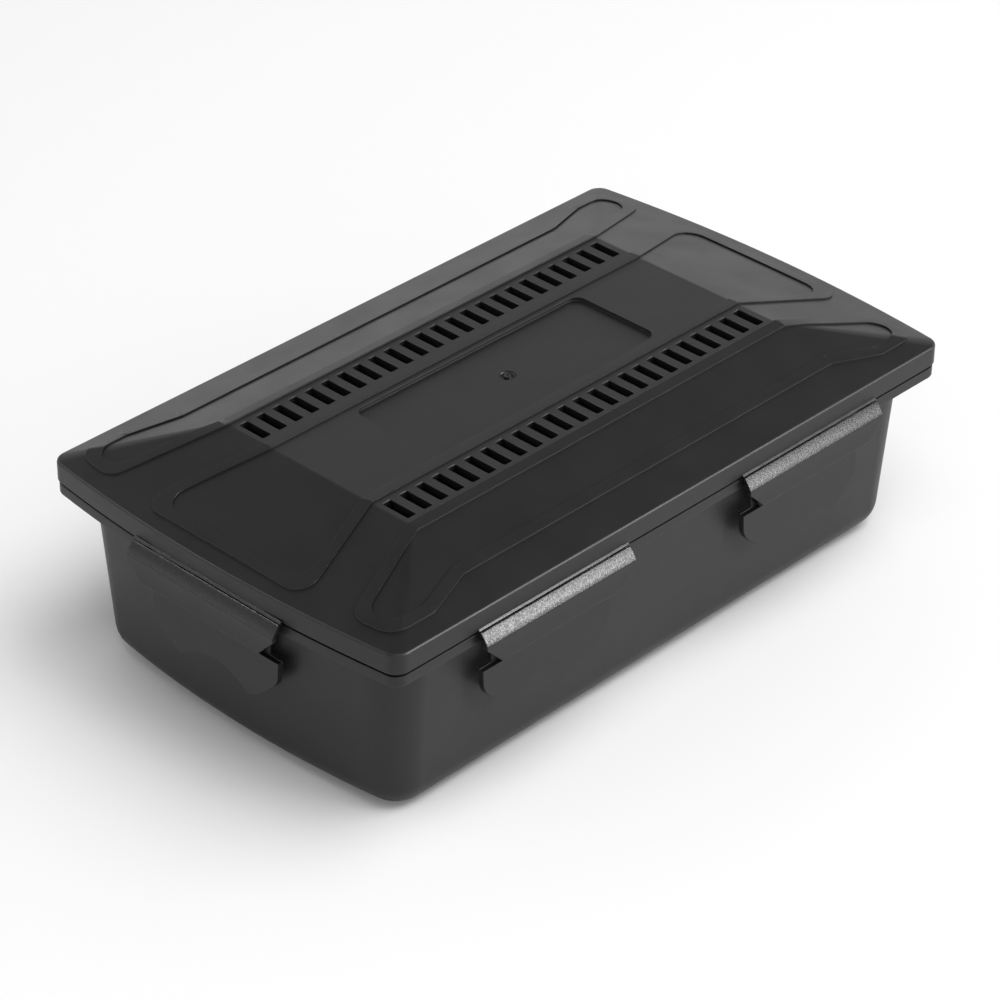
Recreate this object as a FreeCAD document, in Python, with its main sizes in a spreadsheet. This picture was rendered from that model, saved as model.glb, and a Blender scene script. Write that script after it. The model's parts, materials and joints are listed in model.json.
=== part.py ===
"""Ventilated bait box: an open tub, a lift-off vented lid and six latches on living hinges.

Millimetres. +Z is up and the origin is on the floor, under the middle of the box. The long
sides face -Y (front) and +Y (back); the bowed short ends face -X (left) and +X (right).
"""
import FreeCAD, Part
import math
import os
import re
import Sketcher
from FreeCAD import Placement, Rotation, Vector

doc = FreeCAD.newDocument("bait_box")

# ---------------------------------------------------------------- driving dimensions

SIZES = {
    # lid, seen from above
    "lid_length": 200.0,
    "lid_width": 117.6,
    "end_bow": 3.9,          # how far the short ends bulge past their corners
    "lid_corner": 4.0,       # radius of the lid's upright corners
    "lid_wall": 2.0,
    # lid, heights above the floor
    "skirt_foot": 48.4,
    "skirt_crown": 53.8,
    "flat_top": 61.6,
    "eave_ceiling": 52.2,    # ceiling height just inside the skirt
    "flat_half_length": 64.5,
    "flat_half_width": 31.5,
    # raised beads on the lid, to the middle of each bead
    "bead_width": 3.0,
    "bead_rise": 0.45,
    "bead_corner": 3.5,
    "middle_half_width": 16.8,
    "middle_flare": 26.3,
    "middle_reach": 94.0,
    "middle_bow": 0.6,
    "side_upper": 31.9,
    "side_flare": 41.9,
    "side_reach": 91.8,
    "side_lower": 47.4,
    "side_foot": 52.1,
    "side_foot_reach": 90.6,
    "jog_start": 65.2,
    "jog_finish": 79.3,
    # vent slots
    "slot_count": 24,
    "slot_pitch": 5.333,
    "slot_width": 2.7,
    "slot_long": 8.4,
    "slot_row": 24.4,        # from the middle line to the middle of a row
    # sunken label field and the dimple left by the moulding gate
    "label_length": 78.4,
    "label_width": 27.4,
    "label_depth": 1.0,
    "label_corner": 3.0,
    "gate_diameter": 4.4,
    "gate_depth": 0.5,
    "gate_nub": 1.5,
    "nub_height": 0.4,
    # locating rib under the lid
    "rib_gap": 0.4,
    "rib_wall": 1.4,
    "rib_foot": 44.8,
    "rib_crown": 54.4,
    # tub, outside sizes and corners taken just below the flange
    "tub_length": 191.0,
    "tub_width": 108.0,
    "tub_wall": 2.0,
    "tub_corner": 11.6,
    "tub_inset": 3.2,        # how far each wall leans in over the tub's height
    "hull_height": 47.5,
    "foot_radius": 7.6,
    "inner_foot_radius": 6.0,
    "flange_foot": 45.0,
    "flange_crown": 48.0,
    "flange_inset": 0.3,     # flange edge set back from the lid's skirt
    "relief_half_width": 22.2,
    "relief_lip": 0.6,       # flange left standing behind each front and back latch
    "relief_end_lip": 0.1,   # flange left standing behind each end latch
    # latches: heights are below the hinge axis, depths are outward of it
    "latch_width": 50.0,
    "latch_offset": 45.4,    # front and back latches, from the middle line
    "latch_wall": 1.3,
    "flap_wall": 1.7,
    "hinge_height": 48.75,
    "end_flat": 99.65,       # flat on the skirt's bowed ends, where the end latches hang
    "end_flat_height": 4.6,
    "web_depth": 0.5,
    "web_height": 0.7,
    "root_depth": -0.1,
    "root_drop": 0.8,
    "brow_depth": 0.5,
    "brow_drop": 0.3,
    "roll_bow": 0.2,
    "grip_bow": 0.15,
    "roll_depth": 2.8,
    "roll_drop": 3.6,
    "crease_depth": 2.9,
    "crease_drop": 9.2,
    "crease_half_width": 21.5,
    "shelf_drop": 14.4,      # where the slope below the crease meets the flap
    "shelf_thickness": 1.8,  # of that slope, measured upright
    "taper_drop": 4.4,       # where the grip's ends begin to taper in
    "flap_half_width": 21.4,
    "flap_depth": -2.1,
    "flap_crown_drop": 4.6,
    "flap_foot_depth": -1.3,
    "flap_drop": 27.6,
    "lobe_shoulder_drop": 19.7,
    "lobe_bow": 0.7,
    "lobe_tip": 11.6,        # from the latch's middle to each lobe's tip
    "lobe_tip_radius": 1.2,
    "arch_rise": 4.5,
    # cutting shapes
    "latch_cut": 12.0,       # depth of the cuts across a latch, more than its own depth
    "spare": 1.0,            # how far other cutting shapes run past what they cut
}

NEAR = 1e-4          # places closer than this are the same
UPRIGHT_RISE = 2.0   # an upright edge or a wall climbs more than this
UPRIGHT_LEAN = 0.3   # and travels less than this for each unit of its climb

sheet = doc.addObject("Spreadsheet::Sheet", "Sizes")
for row, (alias, size) in enumerate(SIZES.items(), start=1):
    sheet.set(f"A{row}", alias)
    sheet.set(f"B{row}", str(size))
    sheet.setAlias(f"B{row}", alias)
doc.recompute()

# ---------------------------------------------------------------- small helpers


def bound(expression):
    """Write sheet aliases in an expression as references to the sheet."""
    return re.sub(r"\b[a-z]\w*\b(?!\()", lambda word: "Sizes." + word.group(0), expression)


def value(expression):
    """The present value of an expression in the sheet's aliases."""
    return float(sheet.evalExpression(bound(expression)))


def new_body(name):
    return doc.addObject("PartDesign::Body", name)


def origin_plane(body, role):
    return next(item for item in body.Origin.OriginFeatures if getattr(item, "Role", "") == role)


def new_sketch(body, name, role, height="0"):
    """A sketch on one of the body's own origin planes, raised along the plane's normal."""
    sketch = body.newObject("Sketcher::SketchObject", name)
    sketch.AttachmentSupport = [(origin_plane(body, role), "")]
    sketch.MapMode = "FlatFace"
    sketch.setExpression("AttachmentOffset.Base.z", bound(height))
    return sketch


def pin_point(sketch, edge, x, y):
    """Hold an edge's first point at x, y from the sketch's origin."""
    for kind, place in (("DistanceX", x), ("DistanceY", y)):
        index = sketch.addConstraint(Sketcher.Constraint(kind, -1, 1, edge, 1, value(place)))
        sketch.setExpression(f"Constraints[{index}]", bound(place))


def draw_outline(sketch, points):
    """A closed loop through (x, y) or (x, y, bow) points given as expressions.

    A bow makes the edge that leaves the point an arc, standing that far out on the left of
    the way the loop runs.
    """
    first = sketch.GeometryCount
    total = len(points)
    for index, point in enumerate(points):
        follower = points[(index + 1) % total]
        start = Vector(value(point[0]), value(point[1]), 0)
        finish = Vector(value(follower[0]), value(follower[1]), 0)
        if len(point) == 2:
            sketch.addGeometry(Part.LineSegment(start, finish), False)
            continue
        sketch.addGeometry(bowed_arc(start, finish, value(point[2])), False)
    for index, point in enumerate(points):
        edge = first + index
        join_edges(sketch, points, first, index)
        if len(point) == 2:
            pin_point(sketch, edge, point[0], point[1])
        else:
            pin_arc(sketch, edge, point, points[(index + 1) % total])


def bowed_arc(start, finish, bow):
    """Arc from start to finish that stands out by bow on the left of the way it runs."""
    along = finish - start
    left = Vector(-along.y, along.x, 0).normalize()
    radius = along.Length ** 2 / (8 * abs(bow)) + abs(bow) / 2
    side = 1 if bow > 0 else -1
    centre = (start + finish) * 0.5 - left * side * (radius - abs(bow))
    angles = [math.atan2(end.y - centre.y, end.x - centre.x) for end in (start, finish)]
    first, last = angles if bow < 0 else reversed(angles)
    if last < first:
        last += 2 * math.pi
    return Part.ArcOfCircle(Part.Circle(centre, Vector(0, 0, 1), radius), first, last)


def edge_end(sketch, edge, place):
    """Which end of an edge, 1 or 2, lies at a place."""
    geometry = sketch.Geometry[edge]
    near_start = geometry.StartPoint.distanceToPoint(place) < NEAR
    return 1 if near_start else 2


def join_edges(sketch, points, first, index):
    """Join the edge at index to the one after it."""
    total = len(points)
    after = (index + 1) % total
    place = Vector(value(points[after][0]), value(points[after][1]), 0)
    end = edge_end(sketch, first + index, place)
    start = edge_end(sketch, first + after, place)
    sketch.addConstraint(Sketcher.Constraint("Coincident", first + index, end, first + after, start))


def pin_arc(sketch, edge, point, follower):
    """Hold an arc's first point and its radius."""
    place = Vector(value(point[0]), value(point[1]), 0)
    start = edge_end(sketch, edge, place)
    for kind, where in (("DistanceX", point[0]), ("DistanceY", point[1])):
        index = sketch.addConstraint(Sketcher.Constraint(kind, -1, 1, edge, start, value(where)))
        sketch.setExpression(f"Constraints[{index}]", bound(where))
    chord = f"((({follower[0]}) - ({point[0]}))^2 + (({follower[1]}) - ({point[1]}))^2)"
    radius = f"abs({chord} / (8 * ({point[2]})) + ({point[2]}) / 2)"
    index = sketch.addConstraint(Sketcher.Constraint("Radius", edge, value(radius)))
    sketch.setExpression(f"Constraints[{index}]", bound(radius))


def draw_circle(sketch, diameter):
    sketch.addGeometry(Part.Circle(Vector(0, 0, 0), Vector(0, 0, 1), value(diameter) / 2), False)
    sketch.addConstraint(Sketcher.Constraint("Coincident", 0, 3, -1, 1))
    index = sketch.addConstraint(Sketcher.Constraint("Diameter", 0, value(diameter)))
    sketch.setExpression(f"Constraints[{index}]", bound(diameter))


def bowed_plan(half_length, half_width):
    """The box's plan: straight long sides and bowed short ends."""
    corner = f"({half_length} - end_bow)"
    half = f"({half_width})"
    return [
        (f"-{corner}", half),
        (corner, half, "end_bow"),
        (corner, f"-{half}"),
        (f"-{corner}", f"-{half}", "end_bow"),
    ]


def rectangle(half_length, half_width, x="0", y="0"):
    return [
        (f"{x} - ({half_length})", f"{y} + ({half_width})"),
        (f"{x} + ({half_length})", f"{y} + ({half_width})"),
        (f"{x} + ({half_length})", f"{y} - ({half_width})"),
        (f"{x} - ({half_length})", f"{y} - ({half_width})"),
    ]


def add_feature(body, kind, name, sketch, length, **settings):
    """A Pad or Pocket whose length is bound to the sheet."""
    feature = body.newObject("PartDesign::" + kind, name)
    feature.Profile = sketch
    feature.setExpression("Length", bound(length))
    for setting, choice in settings.items():
        setattr(feature, setting, choice)
    sketch.Visibility = False
    doc.recompute()
    return feature


def add_loft(body, kind, name, lower, upper):
    feature = body.newObject("PartDesign::" + kind, name)
    feature.Profile = lower
    feature.Sections = [upper]
    feature.Ruled = True
    doc.recompute()
    return feature


def add_fillet(body, name, radius, wanted):
    """Round every edge of the body's tip that the wanted test picks."""
    base = body.Tip
    names = [f"Edge{n}" for n, edge in enumerate(base.Shape.Edges, start=1) if wanted(edge)]
    feature = body.newObject("PartDesign::Fillet", name)
    feature.Base = (base, names)
    feature.setExpression("Radius", bound(radius))
    doc.recompute()
    return feature


def is_upright(edge):
    """True for an edge that climbs far more than it travels."""
    box = edge.BoundBox
    travel = max(box.XLength, box.YLength)
    return box.ZLength > UPRIGHT_RISE and travel < UPRIGHT_LEAN * box.ZLength


def at_height(edge, height):
    return all(abs(vertex.Z - height) < NEAR for vertex in edge.Vertexes)


def rounded_block(name, half_length, half_width, corner, foot, height):
    """Body: an upright block on the box's plan, with rounded upright corners."""
    body = new_body(name)
    plan = new_sketch(body, name + "_plan", "XY_Plane", foot)
    draw_outline(plan, bowed_plan(half_length, half_width))
    add_feature(body, "Pad", name + "_pad", plan, height)
    add_fillet(body, name + "_corners", corner, is_upright)
    return body


def lean_walls(body, name, foot, foot_radius):
    """Lean a block's walls out from the floor plane up, then round its lower edge."""
    base = body.Tip
    faces = enumerate(base.Shape.Faces, start=1)
    walls = [f"Face{n}" for n, face in faces if face.BoundBox.ZLength > UPRIGHT_RISE]
    draft = body.newObject("PartDesign::Draft", name + "_draft")
    draft.Base = (base, walls)
    draft.NeutralPlane = (origin_plane(body, "XY_Plane"), [""])
    draft.setExpression("Angle", bound("atan(tub_inset / flange_foot)"))
    draft.Reversed = True
    doc.recompute()
    height = value(foot)
    add_fillet(body, name + "_foot", foot_radius, lambda edge: at_height(edge, height))


# ---------------------------------------------------------------- tub


def make_tub():
    """Bowed, drafted tub with a flange round its mouth, cut back behind each latch."""
    base_length = "tub_length / 2 - tub_inset"
    base_width = "tub_width / 2 - tub_inset"
    base_corner = "tub_corner - tub_inset"
    hull = rounded_block("tub_hull", base_length, base_width, base_corner, "0", "hull_height")
    lean_walls(hull, "tub_hull", "0", "foot_radius")
    flange_length = "lid_length / 2 - flange_inset"
    flange_width = "lid_width / 2 - flange_inset"
    height = "flange_crown - flange_foot"
    flange = rounded_block(
        "tub_flange", flange_length, flange_width, "lid_corner", "flange_foot", height)
    cut_reliefs(flange)
    cavity_length = f"{base_length} - tub_wall"
    cavity_width = f"{base_width} - tub_wall"
    corner = f"{base_corner} - tub_wall"
    cavity = rounded_block(
        "tub_cavity", cavity_length, cavity_width, corner, "tub_wall", "flange_crown")
    lean_walls(cavity, "tub_cavity", "tub_wall", "inner_foot_radius")
    block = boolean("MultiFuse", "tub_block", [hull, flange])
    tub = doc.addObject("Part::Cut", "tub_moulding")
    tub.Base = block
    tub.Tool = cavity
    doc.recompute()
    return tub


def cut_reliefs(body):
    """Cut the flange back behind each latch, so that the lid lifts with its latches hanging."""
    plan = new_sketch(body, "relief_plan", "XY_Plane", "flange_crown")
    for side in (1, -1):
        for station in (1, -1):
            middle = f"{station} * latch_offset"
            face = f"{side} * (tub_width / 2 + relief_lip)"
            beyond = f"{side} * lid_width"
            draw_outline(plan, [
                (f"{middle} - relief_half_width", face),
                (f"{middle} + relief_half_width", face),
                (f"{middle} + relief_half_width", beyond),
                (f"{middle} - relief_half_width", beyond),
            ])
        face = f"{side} * (tub_length / 2 + relief_end_lip)"
        beyond = f"{side} * lid_length"
        draw_outline(plan, [
            (face, "-relief_half_width"),
            (face, "relief_half_width"),
            (beyond, "relief_half_width"),
            (beyond, "-relief_half_width"),
        ])
    add_feature(body, "Pocket", "latch_reliefs", plan, "flange_crown - flange_foot")


def boolean(kind, name, shapes):
    """A Part boolean of several objects."""
    feature = doc.addObject("Part::" + kind, name)
    feature.Shapes = shapes
    doc.recompute()
    return feature


# ---------------------------------------------------------------- lid


def make_dome_blank(name, rise):
    """Skirt and hipped top as one block, its top raised by an amount."""
    body = new_body(name)
    skirt_plan = new_sketch(body, name + "_skirt_plan", "XY_Plane", "skirt_foot")
    draw_outline(skirt_plan, bowed_plan("lid_length / 2", "lid_width / 2"))
    add_feature(body, "Pad", name + "_skirt", skirt_plan, f"skirt_crown + {rise} - skirt_foot")
    eave = new_sketch(body, name + "_eave", "XY_Plane", f"skirt_crown + {rise}")
    draw_outline(eave, bowed_plan("lid_length / 2", "lid_width / 2"))
    ridge = new_sketch(body, name + "_ridge", "XY_Plane", f"flat_top + {rise}")
    draw_outline(ridge, rectangle("flat_half_length", "flat_half_width"))
    add_loft(body, "AdditiveLoft", name + "_slopes", eave, ridge)
    return body


def hollow_lid(body):
    """Hollow the block from below."""
    inner_length = "lid_length / 2 - lid_wall"
    inner_width = "lid_width / 2 - lid_wall"
    skirt_inside = new_sketch(body, "skirt_inside", "XY_Plane", "skirt_foot")
    draw_outline(skirt_inside, bowed_plan(inner_length, inner_width))
    add_feature(body, "Pocket", "skirt_hollow", skirt_inside, "eave_ceiling - skirt_foot", Reversed=True)
    eave_inside = new_sketch(body, "eave_inside", "XY_Plane", "eave_ceiling")
    draw_outline(eave_inside, bowed_plan(inner_length, inner_width))
    ridge_inside = new_sketch(body, "ridge_inside", "XY_Plane", "flat_top - lid_wall")
    draw_outline(ridge_inside, rectangle("flat_half_length", "flat_half_width"))
    add_loft(body, "SubtractiveLoft", "dome_hollow", eave_inside, ridge_inside)


def cut_vents(body):
    """Two rows of vent slots, patterned along the lid."""
    slot_plan = new_sketch(body, "slot_plan", "XY_Plane", "flat_top")
    start = "-(slot_count - 1) / 2 * slot_pitch"
    for side in (1, -1):
        middle = f"{side} * slot_row"
        draw_outline(slot_plan, rectangle("slot_width / 2", "slot_long / 2", start, middle))
    first = add_feature(body, "Pocket", "first_slots", slot_plan, "lid_wall + spare")
    row = body.newObject("PartDesign::LinearPattern", "slot_rows")
    row.Originals = [first]
    row.Direction = (slot_plan, ["H_Axis"])
    row.setExpression("Length", bound("(slot_count - 1) * slot_pitch"))
    row.Occurrences = int(value("slot_count"))
    body.Tip = row
    doc.recompute()


def cut_label_field(body):
    """Sunken label field, with the gate's dimple and nub at its middle."""
    field_plan = new_sketch(body, "label_plan", "XY_Plane", "flat_top")
    draw_outline(field_plan, rectangle("label_length / 2", "label_width / 2"))
    add_feature(body, "Pocket", "label_field", field_plan, "label_depth")
    depth = value("label_depth")
    half = value("label_length / 2")

    def field_corner(edge):
        box = edge.BoundBox
        upright = abs(box.ZLength - depth) < NEAR and box.XLength < NEAR
        return upright and abs(abs(edge.CenterOfMass.x) - half) < NEAR

    add_fillet(body, "label_corners", "label_corner", field_corner)
    dimple_plan = new_sketch(body, "dimple_plan", "XY_Plane", "flat_top - label_depth")
    draw_circle(dimple_plan, "gate_diameter")
    add_feature(body, "Pocket", "gate_dimple", dimple_plan, "gate_depth")
    nub_plan = new_sketch(body, "nub_plan", "XY_Plane", "flat_top - label_depth - gate_depth")
    draw_circle(nub_plan, "gate_nub")
    add_feature(body, "Pad", "gate_nub", nub_plan, "nub_height")


def cut_end_flats(body):
    """Flats on the bowed ends of the skirt, where the end latches hang."""
    flat_plan = new_sketch(body, "end_flat_plan", "XY_Plane", "skirt_foot")
    for side in (1, -1):
        draw_outline(flat_plan, [
            (f"{side} * end_flat", "-latch_width / 2"),
            (f"{side} * end_flat", "latch_width / 2"),
            (f"{side} * (lid_length / 2 + spare)", "latch_width / 2"),
            (f"{side} * (lid_length / 2 + spare)", "-latch_width / 2"),
        ])
    add_feature(body, "Pocket", "end_flats", flat_plan, "end_flat_height", Reversed=True)


def make_rib():
    """Ring under the lid that drops inside the tub's mouth."""
    outer_length = "(tub_length / 2 - tub_wall - rib_gap)"
    outer_width = "(tub_width / 2 - tub_wall - rib_gap)"
    corner = "(tub_corner - tub_wall - rib_gap)"
    height = "rib_crown - rib_foot"
    outside = rounded_block("rib_outside", outer_length, outer_width, corner, "rib_foot", height)
    inner_length = f"{outer_length} - rib_wall"
    inner_width = f"{outer_width} - rib_wall"
    inner_corner = f"{corner} - rib_wall"
    inside = rounded_block("rib_inside", inner_length, inner_width, inner_corner, "rib_foot", height)
    rib = doc.addObject("Part::Cut", "locating_rib")
    rib.Base = outside
    rib.Tool = inside
    doc.recompute()
    return rib


def middle_panel(grow):
    """Outline of the long middle panel; grow is the half bead width to add."""
    edge = f"(middle_half_width + {grow})"
    flare = f"(middle_flare + {grow})"
    reach = f"(middle_reach + {grow})"
    return [
        (f"-{reach}", f"-{flare}", "middle_bow"),
        (f"-{reach}", flare),
        ("-flat_half_length", edge),
        ("flat_half_length", edge),
        (reach, flare, "middle_bow"),
        (reach, f"-{flare}"),
        ("flat_half_length", f"-{edge}"),
        ("-flat_half_length", f"-{edge}"),
    ]


def side_panel(grow, side):
    """Outline of the panel on one long slope; side is 1 at the back and -1 at the front."""
    upper = f"{side} * (side_upper - {grow})"
    flare = f"{side} * (side_flare - {grow})"
    lower = f"{side} * (side_lower + {grow})"
    foot = f"{side} * (side_foot + {grow})"
    reach = f"(side_reach + {grow})"
    foot_reach = f"(side_foot_reach + {grow})"
    return [
        ("-flat_half_length", upper),
        ("flat_half_length", upper),
        (reach, flare),
        (foot_reach, foot),
        ("jog_finish", foot),
        ("jog_start", lower),
        ("-jog_start", lower),
        ("-jog_finish", foot),
        (f"-{foot_reach}", foot),
        (f"-{reach}", flare),
    ]


def make_bead_prism(name, outline, *choice):
    """Upright wall along a panel's outline, as tall as the lid."""
    body = new_body(name)
    outside = new_sketch(body, name + "_outside", "XY_Plane", "skirt_crown")
    draw_outline(outside, outline("bead_width / 2", *choice))
    height = "flat_top + spare - skirt_crown"
    add_feature(body, "Pad", name + "_block", outside, height)
    far = value("jog_finish + bead_width")

    def end_corner(edge):
        return is_upright(edge) and abs(edge.CenterOfMass.x) > far

    add_fillet(body, name + "_corners", "bead_corner", end_corner)
    inside = new_sketch(body, name + "_inside", "XY_Plane", "skirt_crown")
    draw_outline(inside, outline("(-bead_width / 2)", *choice))
    add_feature(body, "Pocket", name + "_middle", inside, height, Reversed=True)
    return body


def make_lid():
    """Cover, locating rib and raised beads, joined as one moulding."""
    cover = make_dome_blank("cover", "0")
    hollow_lid(cover)
    cut_vents(cover)
    cut_label_field(cover)
    cut_end_flats(cover)
    depth = "flat_top + spare - skirt_foot"
    plan = rounded_block(
        "lid_plan", "lid_length / 2", "lid_width / 2", "lid_corner", "skirt_foot", depth)
    trimmed = boolean("MultiCommon", "trimmed_cover", [cover, plan])
    layer = doc.addObject("Part::Cut", "bead_layer")
    layer.Base = make_dome_blank("raised_cover", "bead_rise")
    layer.Tool = make_dome_blank("lowered_cover", "(-lid_wall / 2)")
    doc.recompute()
    beads = []
    for name, outline, choice in (
        ("middle_bead", middle_panel, ()),
        ("front_bead", side_panel, (-1,)),
        ("back_bead", side_panel, (1,)),
    ):
        prism = make_bead_prism(name, outline, *choice)
        bead = boolean("MultiCommon", name + "_on_lid", [prism, layer])
        beads.append(bead)
    return boolean("MultiFuse", "lid_moulding", [trimmed, make_rib(), *beads])


# ---------------------------------------------------------------- latches and their hinges


def latch_stations():
    """Name, hinge middle and turn about Z for each latch; unturned, a latch faces -Y."""
    front = "lid_width / 2 + web_depth / 2"
    end = "end_flat + web_depth / 2"
    return (
        ("front_left", "-latch_offset", f"-({front})", 0),
        ("front_right", "latch_offset", f"-({front})", 0),
        ("back_left", "-latch_offset", front, 180),
        ("back_right", "latch_offset", front, 180),
        ("left", f"-({end})", "0", -90),
        ("right", end, "0", 90),
    )


def place(feature, x, y, turn, height="hinge_height"):
    """Bind a feature's place to the sheet, and turn it about the vertical."""
    feature.Placement = Placement(Vector(0, 0, 0), Rotation(Vector(0, 0, 1), turn))
    for axis, expression in (("x", x), ("y", y), ("z", height)):
        feature.setExpression(f"Placement.Base.{axis}", bound(expression))


def make_latch(station):
    """Snap flap: a rolled outer grip over an inner flap that ends in two lobes."""
    name = "latch_" + station
    body = new_body(name + "_body")

    # section through the grip: from the hinge over the roll, down to the crease, and from there
    # down a slope that leads back in to the flap
    grip = new_sketch(body, name + "_grip_section", "YZ_Plane")
    steepness = "(shelf_drop - crease_drop) / (crease_depth - flap_depth)"
    inner_crease = f"-(crease_drop + latch_wall * {steepness} - shelf_thickness)"
    draw_outline(grip, [
        ("-root_depth", "-root_drop"),
        ("-brow_depth", "-brow_drop", "-roll_bow"),
        ("-roll_depth", "-roll_drop", "grip_bow"),
        ("-crease_depth", "-crease_drop"),
        ("-flap_depth", "-shelf_drop"),
        ("-flap_depth", "-(shelf_drop - shelf_thickness)"),
        ("-(crease_depth - latch_wall)", inner_crease, "-grip_bow"),
        ("-(roll_depth - latch_wall)", "-roll_drop"),
    ])
    add_feature(body, "Pad", name + "_grip", grip, "latch_width", Midplane=True)

    # section through the flap, which flares outwards towards its foot
    flap = new_sketch(body, name + "_flap_section", "YZ_Plane")
    draw_outline(flap, [
        ("-flap_depth", "-flap_crown_drop"),
        ("-flap_depth", "-shelf_drop"),
        ("-flap_foot_depth", "-flap_drop"),
        ("-flap_foot_depth + flap_wall", "-flap_drop"),
        ("-flap_depth + flap_wall", "-shelf_drop"),
        ("-flap_depth + flap_wall", "-flap_crown_drop"),
    ])
    add_feature(body, "Pad", name + "_flap", flap, "2 * flap_half_width", Midplane=True)

    # the grip's ends taper in below the roll
    taper = new_sketch(body, name + "_taper", "XZ_Plane")
    for side in (1, -1):
        draw_outline(taper, [
            (f"{side} * latch_width / 2", "-taper_drop"),
            (f"{side} * (latch_width / 2 + spare)", "-taper_drop"),
            (f"{side} * (latch_width / 2 + spare)", "-shelf_drop - spare"),
            (f"{side} * crease_half_width", "-shelf_drop - spare"),
            (f"{side} * crease_half_width", "-crease_drop"),
        ])
    add_feature(body, "Pocket", name + "_ends", taper, "latch_cut", Midplane=True)

    # two lobes with an arch between them
    lobes = new_sketch(body, name + "_lobes", "XZ_Plane")
    beyond = "(flap_half_width + spare)"
    foot = "-flap_drop"
    draw_outline(lobes, [
        (f"-{beyond}", "-lobe_shoulder_drop"),
        ("-flap_half_width", "-lobe_shoulder_drop", "-lobe_bow"),
        ("-lobe_tip", foot, "arch_rise"),
        ("lobe_tip", foot, "-lobe_bow"),
        ("flap_half_width", "-lobe_shoulder_drop"),
        (beyond, "-lobe_shoulder_drop"),
        (beyond, "-flap_drop - spare"),
        (f"-{beyond}", "-flap_drop - spare"),
    ])
    add_feature(body, "Pocket", name + "_lobe_cut", lobes, "latch_cut", Midplane=True)
    foot_height = -value("flap_drop")

    def lobe_tip(edge):
        box = edge.BoundBox
        across = box.XLength < NEAR and box.YLength > value("flap_wall") / 2
        return across and box.ZMax < foot_height + value("flap_wall") / 2

    add_fillet(body, name + "_tips", "lobe_tip_radius", lobe_tip)
    return body


def make_web(station):
    """Thin strip that joins a latch to the skirt and bends when the latch opens."""
    web = doc.addObject("Part::Box", "hinge_web_" + station + "_strip")
    web.setExpression("Length", bound("latch_width"))
    web.setExpression("Width", bound("web_depth"))
    web.setExpression("Height", bound("web_height"))
    return web


def place_web(web, x, y, turn):
    """Put a strip's middle on the hinge line."""
    quarter = Rotation(Vector(0, 0, 1), turn)
    middle = quarter.multVec(Vector(1, 0, 0)), quarter.multVec(Vector(0, 1, 0))
    shift_x = f"({middle[0].x:.0f}) * latch_width / 2 + ({middle[1].x:.0f}) * web_depth / 2"
    shift_y = f"({middle[0].y:.0f}) * latch_width / 2 + ({middle[1].y:.0f}) * web_depth / 2"
    place(web, f"{x} - ({shift_x})", f"{y} - ({shift_y})", turn, "hinge_height - web_height / 2")


# ---------------------------------------------------------------- build, check and write

nodes = {"tub": make_tub(), "lid": make_lid()}
for station, x, y, turn in latch_stations():
    latch = make_latch(station)
    place(latch, x, y, turn)
    nodes["latch_" + station] = latch
    web = make_web(station)
    place_web(web, x, y, turn)
    nodes["hinge_web_" + station] = web
for name, feature in nodes.items():
    feature.Label = name
doc.recompute()

for item in doc.Objects:
    if "Invalid" in item.State or "Error" in item.State:
        raise RuntimeError(f"{item.Name} failed to build: {item.State}")
for name, feature in nodes.items():
    shape = feature.Shape
    if shape.isNull() or not shape.isValid():
        raise RuntimeError(f"{name} has no valid shape")
    if len(shape.Solids) != 1:
        raise RuntimeError(f"{name} has {len(shape.Solids)} solids")
    box = shape.BoundBox
    corners = (box.XMin, box.XMax, box.YMin, box.YMax, box.ZMin, box.ZMax)
    print(f"{name:24s} {shape.Volume:10.1f} mm3 ", *(f"{corner:7.2f}" for corner in corners))

os.makedirs("parts", exist_ok=True)
for name, feature in nodes.items():
    feature.Shape.exportStep(f"parts/{name}.step")
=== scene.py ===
"""Ventilated bait box: the finished look of its tub, lid, six latches and their hinge strips.

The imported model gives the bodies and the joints, and each piece here stands for the plain node of
the same place. Sizes are in millimetres and are turned to metres where a point is made.
"""
import json
import logging
import math
from collections.abc import Callable, Sequence
from dataclasses import dataclass
from enum import Enum

import bmesh
import bpy
from mathutils import Matrix, Vector

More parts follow.
